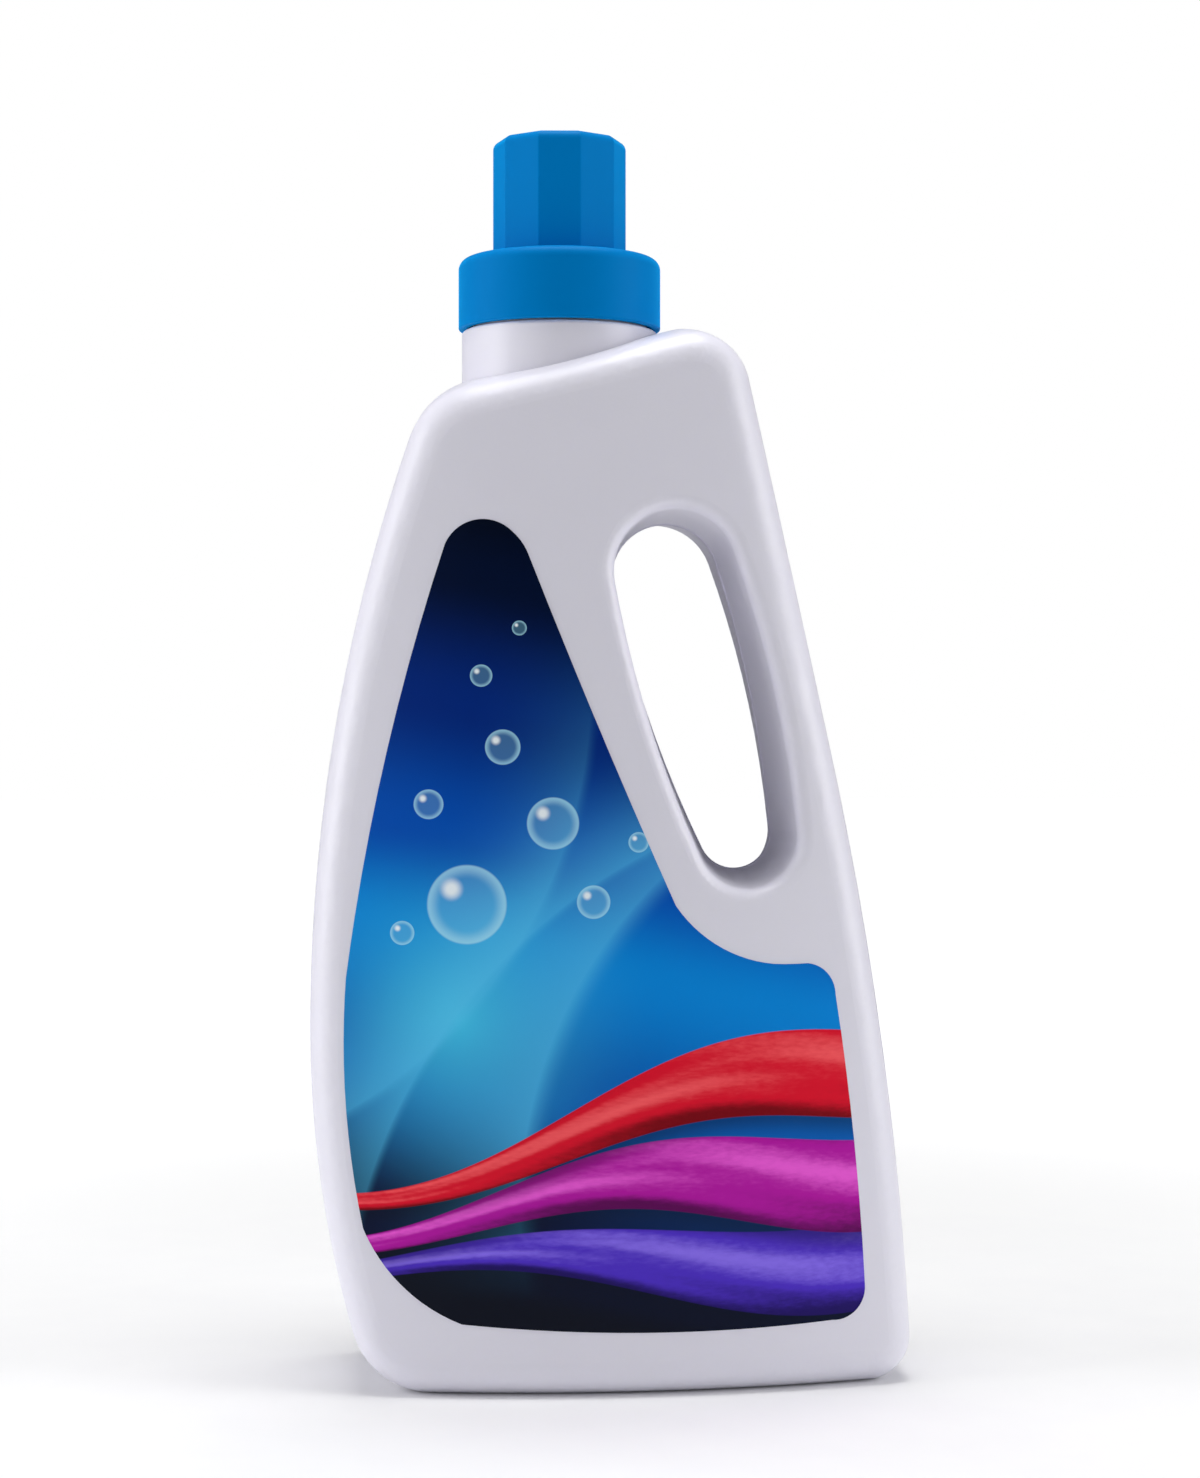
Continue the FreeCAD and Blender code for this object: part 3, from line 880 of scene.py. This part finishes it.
def milky_spout() -> Plastic:
    """The spout's soft milky polyethylene."""
    return Plastic(
        name="spout plastic", colour=srgb(228, 230, 232), tint=srgb(236, 237, 238),
        roughness=0.4, glow=0.35, glow_depth_mm=(2.0, 2.0, 2.0))


def foam_wad() -> Plastic:
    """The wad's fine white foam."""
    return Plastic(
        name="wad foam", colour=srgb(238, 238, 232), tint=srgb(226, 226, 220), roughness=0.75,
        peel=2.0, flow=0.2, skin_depth_mm=0.05)


@dataclass
class Closure:
    """The cap, the wad in it and the spout below it."""

    cap: CapPlastic = field(default_factory=blue_cap)
    spout: Plastic = field(default_factory=milky_spout)
    wad: Plastic = field(default_factory=foam_wad)
    cap_crease_deg: float = 24.0

    def build(self) -> None:
        """Dress the cap, the spout and the wad."""
        dress(Node.CAP, self.cap.material(), crease_deg=self.cap_crease_deg)
        dress(Node.SPOUT, self.spout.material())
        dress(Node.WAD, self.wad.material())


@dataclass(frozen=True)
class Softbox:
    """One rectangular soft light: its place and size in millimetres, its power in watts."""

    name: str
    place_mm: tuple[float, float, float]
    size_mm: tuple[float, float]
    power: float


@dataclass
class Studio:
    """Camera, floor and soft light."""

    photo_height_px: float = 1478.0
    camera_px: float = 2935.0
    camera_distance_mm: float = 646.0
    camera_azimuth_deg: float = -4.5
    aim_mm: tuple[float, float, float] = (-1.76, 0.0, 138.7)
    long_sensor_mm: float = 36.0
    clip_m: tuple[float, float] = (0.01, 20.0)
    floor_half_m: float = 6.0
    paper: tuple[Colour, Colour] = ((0.90, 0.90, 0.91), (0.93, 0.93, 0.93))
    paper_roughness: float = 0.9
    white: Colour = (1.0, 1.0, 1.0)
    glow_ring_m: tuple[float, float] = (0.1, 0.9)
    surround: float = 0.11
    far_floor_glow: float = 0.94
    lit_middle_mm: tuple[float, float, float] = (0.0, 0.0, 130.0)
    softboxes: tuple[Softbox, ...] = (
        Softbox("left light", (-800.0, -90.0, 250.0), (500.0, 900.0), 5.3),
        Softbox("right light", (800.0, -230.0, 250.0), (500.0, 900.0), 5.0),
        Softbox("front light", (-700.0, -850.0, 450.0), (600.0, 600.0), 0.9),
        Softbox("top light", (0.0, 0.0, 950.0), (500.0, 500.0), 6.2),
    )

    def camera(self) -> None:
        """Place the camera at the photograph's viewing angle."""
        data = bpy.data.cameras.new("camera")
        data.sensor_width = self.long_sensor_mm
        data.lens = self.long_sensor_mm * self.camera_px / self.photo_height_px
        data.clip_start, data.clip_end = self.clip_m
        camera = bpy.data.objects.new("camera", data)
        turn = math.radians(self.camera_azimuth_deg)
        away = Vector((math.sin(turn), -math.cos(turn), 0.0))
        camera.location = Vector(self.aim_mm) * MM + away * self.camera_distance_mm * MM
        camera.rotation_mode = "QUATERNION"
        camera.rotation_quaternion = (-away).to_track_quat("-Z", "Y")
        bpy.context.scene.collection.objects.link(camera)
        bpy.context.scene.camera = camera

    def light(self, box: Softbox) -> None:
        """Add one soft light, turned to the bottle.

        Args:
            box: The light.
        """
        data = bpy.data.lights.new(box.name, "AREA")
        data.shape = "RECTANGLE"
        data.size, data.size_y = (length * MM for length in box.size_mm)
        data.energy = box.power
        lamp = bpy.data.objects.new(box.name, data)
        lamp.location = Vector(box.place_mm) * MM
        lamp.rotation_mode = "QUATERNION"
        to_bottle = Vector(self.lit_middle_mm) * MM - lamp.location
        lamp.rotation_quaternion = to_bottle.to_track_quat("-Z", "Y")
        bpy.context.scene.collection.objects.link(lamp)

    def floor(self) -> None:
        """Lay a plain pale floor that reads as white to the camera."""
        mesh = bpy.data.meshes.new("floor")
        shape = bmesh.new()
        bmesh.ops.create_grid(shape, x_segments=1, y_segments=1, size=self.floor_half_m)
        shape.to_mesh(mesh)
        shape.free()
        floor = bpy.data.objects.new("floor", mesh)
        bpy.context.scene.collection.objects.link(floor)
        material = bpy.data.materials.new("floor paper")
        material.use_nodes = True
        sheet = Sheet(material.node_tree)
        shader = material.node_tree.nodes["Principled BSDF"]
        paper = sheet.blend(sheet.noise(PAPER_FIBRES), *self.paper)
        sheet.feed(shader.inputs["Base Color"], paper)
        shader.inputs["Roughness"].default_value = self.paper_roughness
        sheet.feed(shader.inputs["Emission Color"], self.white)
        seen = sheet.add("ShaderNodeLightPath").outputs["Is Camera Ray"]
        reach = sheet.add("ShaderNodeVectorMath", operation="LENGTH")
        sheet.feed(reach.inputs[0], sheet.object_place())
        far = sheet.ease(reach.outputs["Value"], *self.glow_ring_m)
        glow = sheet.calc("MULTIPLY", sheet.calc("MULTIPLY", seen, far), self.far_floor_glow)
        sheet.feed(shader.inputs["Emission Strength"], glow)
        mesh.materials.append(material)

    def world(self, level: float) -> None:
        """Surround the scene with even light and a white background.

        Args:
            level: Strength of the surrounding light on the object.
        """
        world = bpy.data.worlds.new("studio")
        world.use_nodes = True
        sheet = Sheet(world.node_tree)
        background = world.node_tree.nodes["Background"]
        sheet.feed(background.inputs["Color"], self.white)
        seen = sheet.add("ShaderNodeLightPath").outputs["Is Camera Ray"]
        sheet.feed(background.inputs["Strength"],
                   sheet.calc("MULTIPLY_ADD", seen, 1.0 - level, level))
        bpy.context.scene.world = world

    def build(self) -> None:
        """Set up the camera, the floor and the lights."""
        self.camera()
        self.floor()
        self.world(self.surround)
        for box in self.softboxes:
            self.light(box)
        bpy.context.scene.view_settings.view_transform = "Standard"


def main() -> None:
    """Build every sub-assembly in order and report each."""
    logging.basicConfig(level=logging.INFO, format="%(name)s: %(message)s")
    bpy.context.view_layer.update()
    for assembly in (BlownBottle(), Closure(), Studio()):
        assembly.build()
        LOG.info("%s is ready", type(assembly).__name__)


if __name__ == "__main__":
    main()
